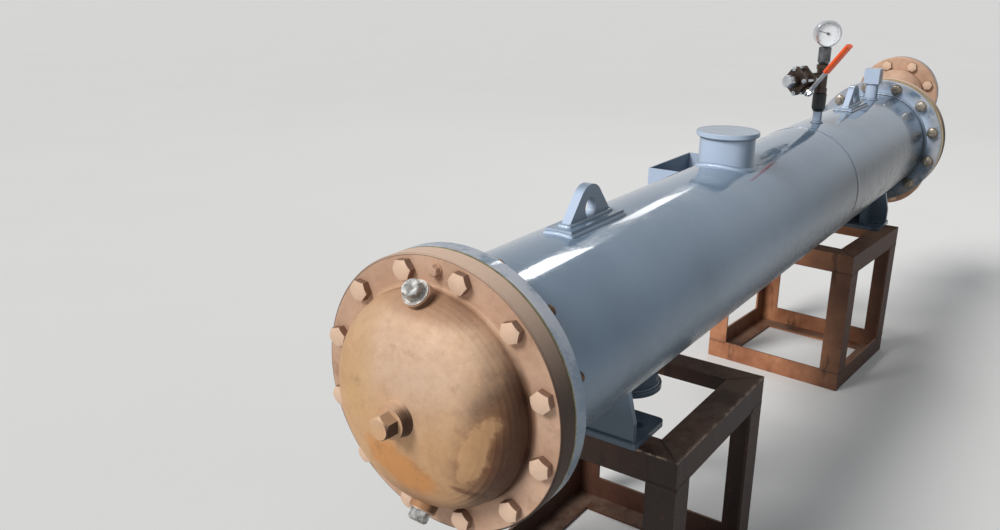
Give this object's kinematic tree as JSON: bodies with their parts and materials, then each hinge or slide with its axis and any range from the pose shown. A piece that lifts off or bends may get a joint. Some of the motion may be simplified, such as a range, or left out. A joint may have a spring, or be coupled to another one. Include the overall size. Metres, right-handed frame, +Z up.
{
  "type": "shell and tube heat exchanger on stands",
  "caption": "Horizontal shell and tube heat exchanger: grey steel shell with bronze end cover and nozzle channel, lifting lugs, pressure gauge and drain valve, on angle iron stands.",
  "frame": {"origin": "on the floor, under the centre of the whole assembly's box", "axes": "+X along the shell from the dished cover to the nozzle channel, +Z up"},
  "size_m": [2.36, 0.4406, 0.949],
  "materials": {
    "shell_paint": "glossy blue-grey enamel",
    "bronze": "as-cast bronze, machined flange faces",
    "gasket": "olive compressed-fibre sheet",
    "tubesheet_brass": "rolled naval brass, turned edge",
    "plate_steel": "bare mild steel plate",
    "oxide_steel": "red-brown oxide primer, rubbed and rusted",
    "black_fitting": "black malleable iron",
    "zinc": "bright zinc-plated steel",
    "gauge_metal": "polished stainless steel",
    "dial_white": "white printed dial plate",
    "gauge_window": "clear window",
    "lever_steel": "pressed stainless steel",
    "lever_grip": "orange dipped vinyl"
  },
  "bodies": {
    "root": {"shell": "shell_paint", "front_shell_flange": "shell_paint", "rear_shell_flange": "shell_paint", "front_gasket": "gasket", "end_cover": "bronze", "cover_plug": "bronze", "vent_plug": "zinc", "drain_plug": "zinc", "tubesheet_gaskets": "gasket", "tubesheet": "tubesheet_brass", "channel": "bronze", "nozzle_gaskets": "gasket", "upper_blank_flange": "plate_steel", "lower_blank_flange": "plate_steel", "top_nozzle_neck": "shell_paint", "top_nozzle_cap": "shell_paint", "bottom_nozzle_neck": "shell_paint", "bottom_nozzle_cap": "shell_paint", "front_lug_pad": "shell_paint", "rear_lug_pad": "shell_paint", "front_lifting_lug": "shell_paint", "rear_lifting_lug": "shell_paint", "nameplate_bracket": "shell_paint", "relief_stub": "shell_paint", "relief_block": "shell_paint", "gauge_stub": "shell_paint", "gauge_coupling": "black_fitting", "gauge_tee": "black_fitting", "gauge_adapter": "black_fitting", "gauge_case": "gauge_metal", "gauge_dial": "dial_white", "gauge_glass": "gauge_window", "valve_body": "black_fitting", "valve_plug": "zinc", "front_saddle_base": "shell_paint", "front_saddle": "shell_paint", "rear_saddle_base": "shell_paint", "rear_saddle": "shell_paint", "front_stand_top": "oxide_steel", "front_stand_legs": "oxide_steel", "front_stand_foot": "oxide_steel", "rear_stand_top": "oxide_steel", "rear_stand_legs": "oxide_steel", "rear_stand_foot": "oxide_steel"},
    "lever": {"valve_stem": "zinc", "valve_lever": "lever_steel", "lever_sleeve": "lever_grip"}
  },
  "joints": [
    {"name": "lever_turn", "type": "hinge", "parent": "root", "child": "lever", "pos_m": [0.27053, -0.01533, 0.817], "axis": [-0.287, -0.7103, -0.6428], "range_deg": [0, 90]}
  ]
}
